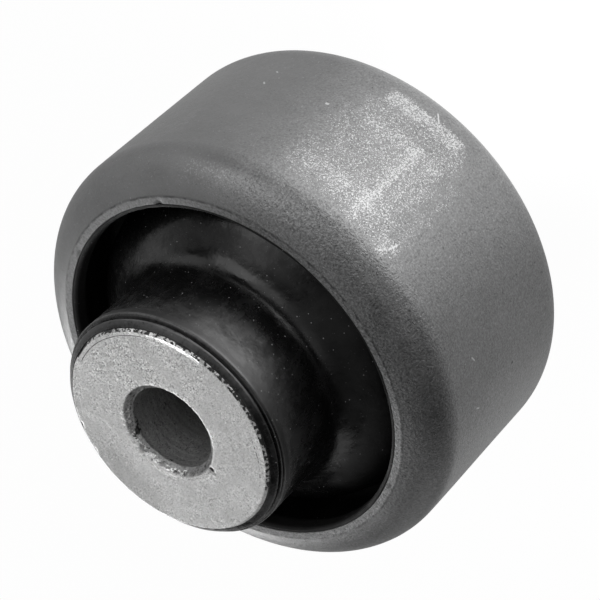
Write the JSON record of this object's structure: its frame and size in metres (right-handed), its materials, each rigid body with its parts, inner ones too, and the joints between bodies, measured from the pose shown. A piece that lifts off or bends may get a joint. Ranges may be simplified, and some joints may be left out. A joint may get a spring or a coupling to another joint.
{
  "type": "rubber metal bush",
  "caption": "Cylindrical rubber metal bush: a short turned-in outer sleeve with rubber bonded round a longer thick-walled inner sleeve with a through bore.",
  "frame": {"origin": "centre of the outer sleeve's press-fit cylinder, on the bore axis", "axes": "+Z along the bore axis; the bush is round about Z; the inner sleeve reaches 1 mm further towards +Z; it stands on the inner sleeve's end face at -Z"},
  "size_m": [0.064, 0.064, 0.062],
  "materials": {
    "outer_metal": "satin grey phosphated steel, worn in patches",
    "inner_metal": "matt pale grey, granular",
    "rubber": "black, semi-matt"
  },
  "bodies": {
    "root": {"outer_sleeve": "outer_metal", "inner_sleeve": "inner_metal", "rubber_element": "rubber"}
  },
  "joints": []
}
